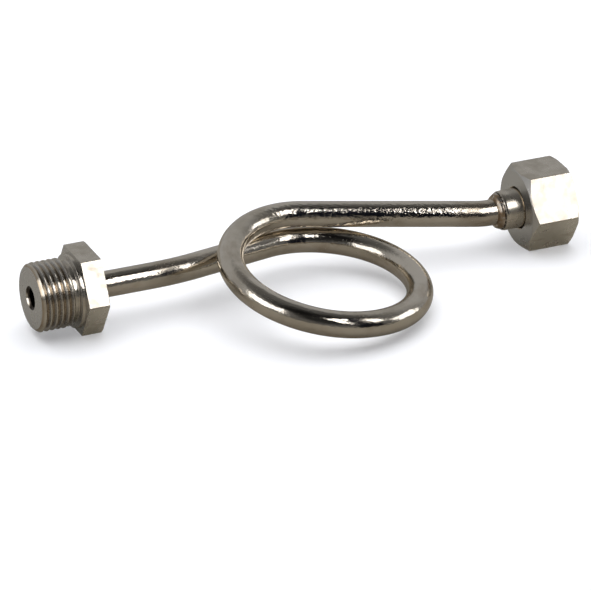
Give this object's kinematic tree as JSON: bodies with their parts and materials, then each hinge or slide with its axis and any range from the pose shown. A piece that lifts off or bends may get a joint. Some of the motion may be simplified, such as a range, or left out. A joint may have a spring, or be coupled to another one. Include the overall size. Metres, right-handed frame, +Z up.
{
  "type": "pressure gauge siphon",
  "caption": "Coiled pigtail tube with a male threaded hex nipple at one end and a swivelling union nut at the other, to keep steam off a pressure gauge.",
  "frame": {"origin": "centre of the nipple's end face, on the axis that both fittings share", "axes": "+X along the fittings' axis from the nipple to the union nut, +Z up from the table that the siphon lies on at z = -0.012"},
  "size_m": [0.1744, 0.0646, 0.024],
  "materials": {
    "tube_steel": "nickel-grey drawn tube, bright with faint heat stains",
    "fitting_steel": "nickel-grey turned metal, satin flats and bright thread",
    "braze_metal": "brazing metal, slightly brown and rippled",
    "copper": "annealed copper sealing ring"
  },
  "bodies": {
    "siphon": {"siphon_tube": "tube_steel", "threaded_nipple": "fitting_steel", "nipple_braze": "braze_metal", "union_nozzle": "fitting_steel", "nozzle_braze": "braze_metal", "sealing_gasket": "copper"},
    "nut": {"union_nut": "fitting_steel"}
  },
  "joints": [
    {"name": "nut_spin", "type": "hinge", "parent": "siphon", "child": "nut", "pos_m": [0.1605, 0, 0], "axis": [1, 0, 0], "continuous": true}
  ]
}
